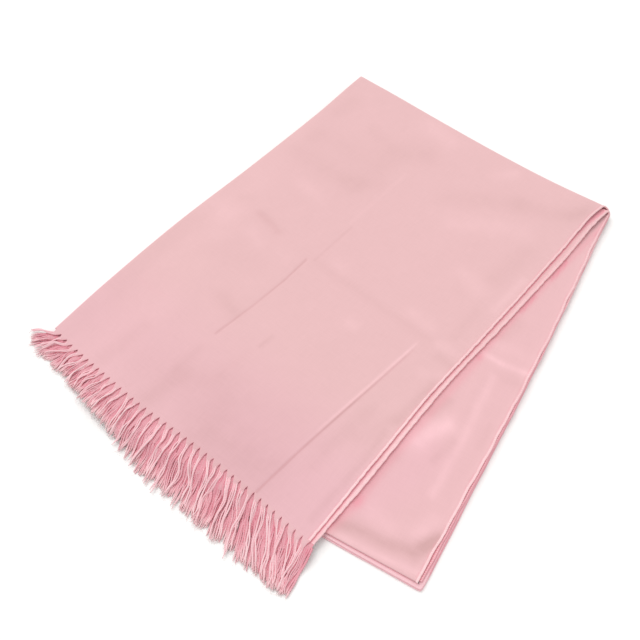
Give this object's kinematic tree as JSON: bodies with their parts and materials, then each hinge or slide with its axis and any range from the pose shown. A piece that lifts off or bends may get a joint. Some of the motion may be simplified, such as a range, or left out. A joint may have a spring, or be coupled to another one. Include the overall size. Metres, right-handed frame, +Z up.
{
  "type": "folded pashmina shawl",
  "caption": "Rectangular pashmina shawl folded lengthwise and then across, lying flat as a fanned stack with rolled edges and a fringed hem.",
  "frame": {"origin": "middle of the footprint, on the surface the shawl lies on", "axes": "+X across the folded band from the lengthwise fold to the free edges, +Y along the band from the fringed hem to the cross fold, +Z up"},
  "size_m": [0.46, 0.5656, 0.0158],
  "materials": {
    "cloth": "pale rose pink fine twill, soft low sheen with a short nap",
    "fringe": "same yarn, loosely twisted into locks, matte"
  },
  "bodies": {
    "root": {"upper_stretch": "cloth", "lower_stretch": "cloth", "hidden_layers": "cloth", "fringe_upper": "fringe", "fringe_under": "fringe"}
  },
  "joints": []
}
